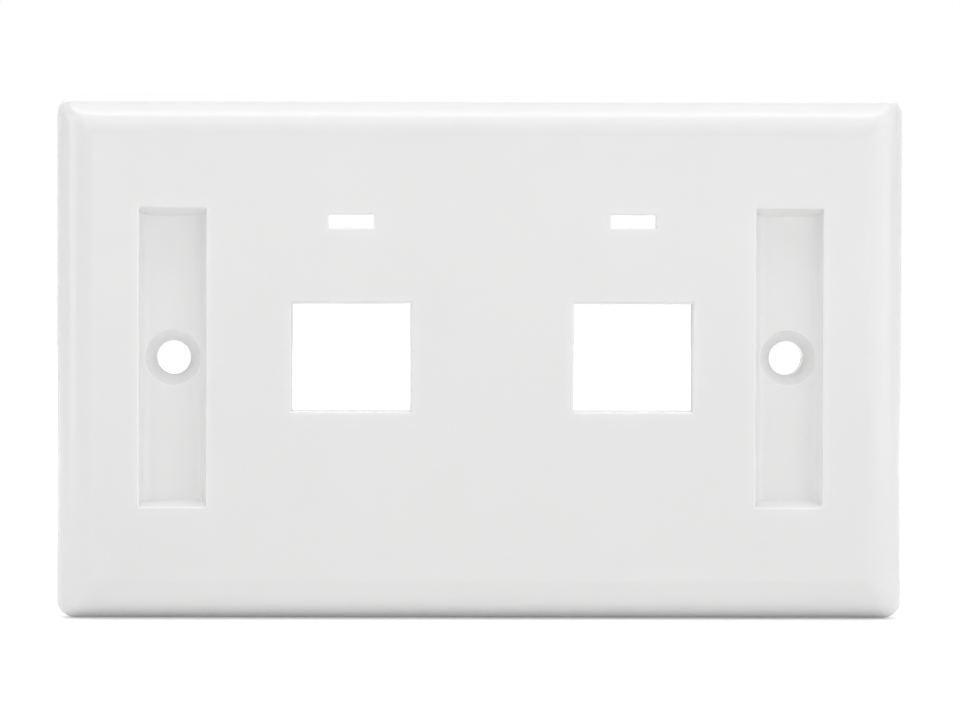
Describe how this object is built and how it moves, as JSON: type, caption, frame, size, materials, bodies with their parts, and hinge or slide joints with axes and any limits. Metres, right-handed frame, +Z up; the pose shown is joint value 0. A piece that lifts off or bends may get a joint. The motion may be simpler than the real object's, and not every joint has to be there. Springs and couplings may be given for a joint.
{
  "type": "keystone faceplate",
  "caption": "Single-gang wall plate for keystone jacks, with rolled edges, icon slots and a sunk label recess round each fixing screw.",
  "frame": {"origin": "centre of the two fixing screws on the wall plane, which is also the plane of the rear rim", "axes": "+X to the right along the long side, +Y into the wall, +Z up; the front face looks towards -Y"},
  "size_m": [0.1152, 0.0098, 0.071],
  "materials": {
    "plastic": "white moulded plastic, satin gloss with a very fine grain on the flat face"
  },
  "bodies": {
    "root": {"faceplate": "plastic"}
  },
  "joints": []
}
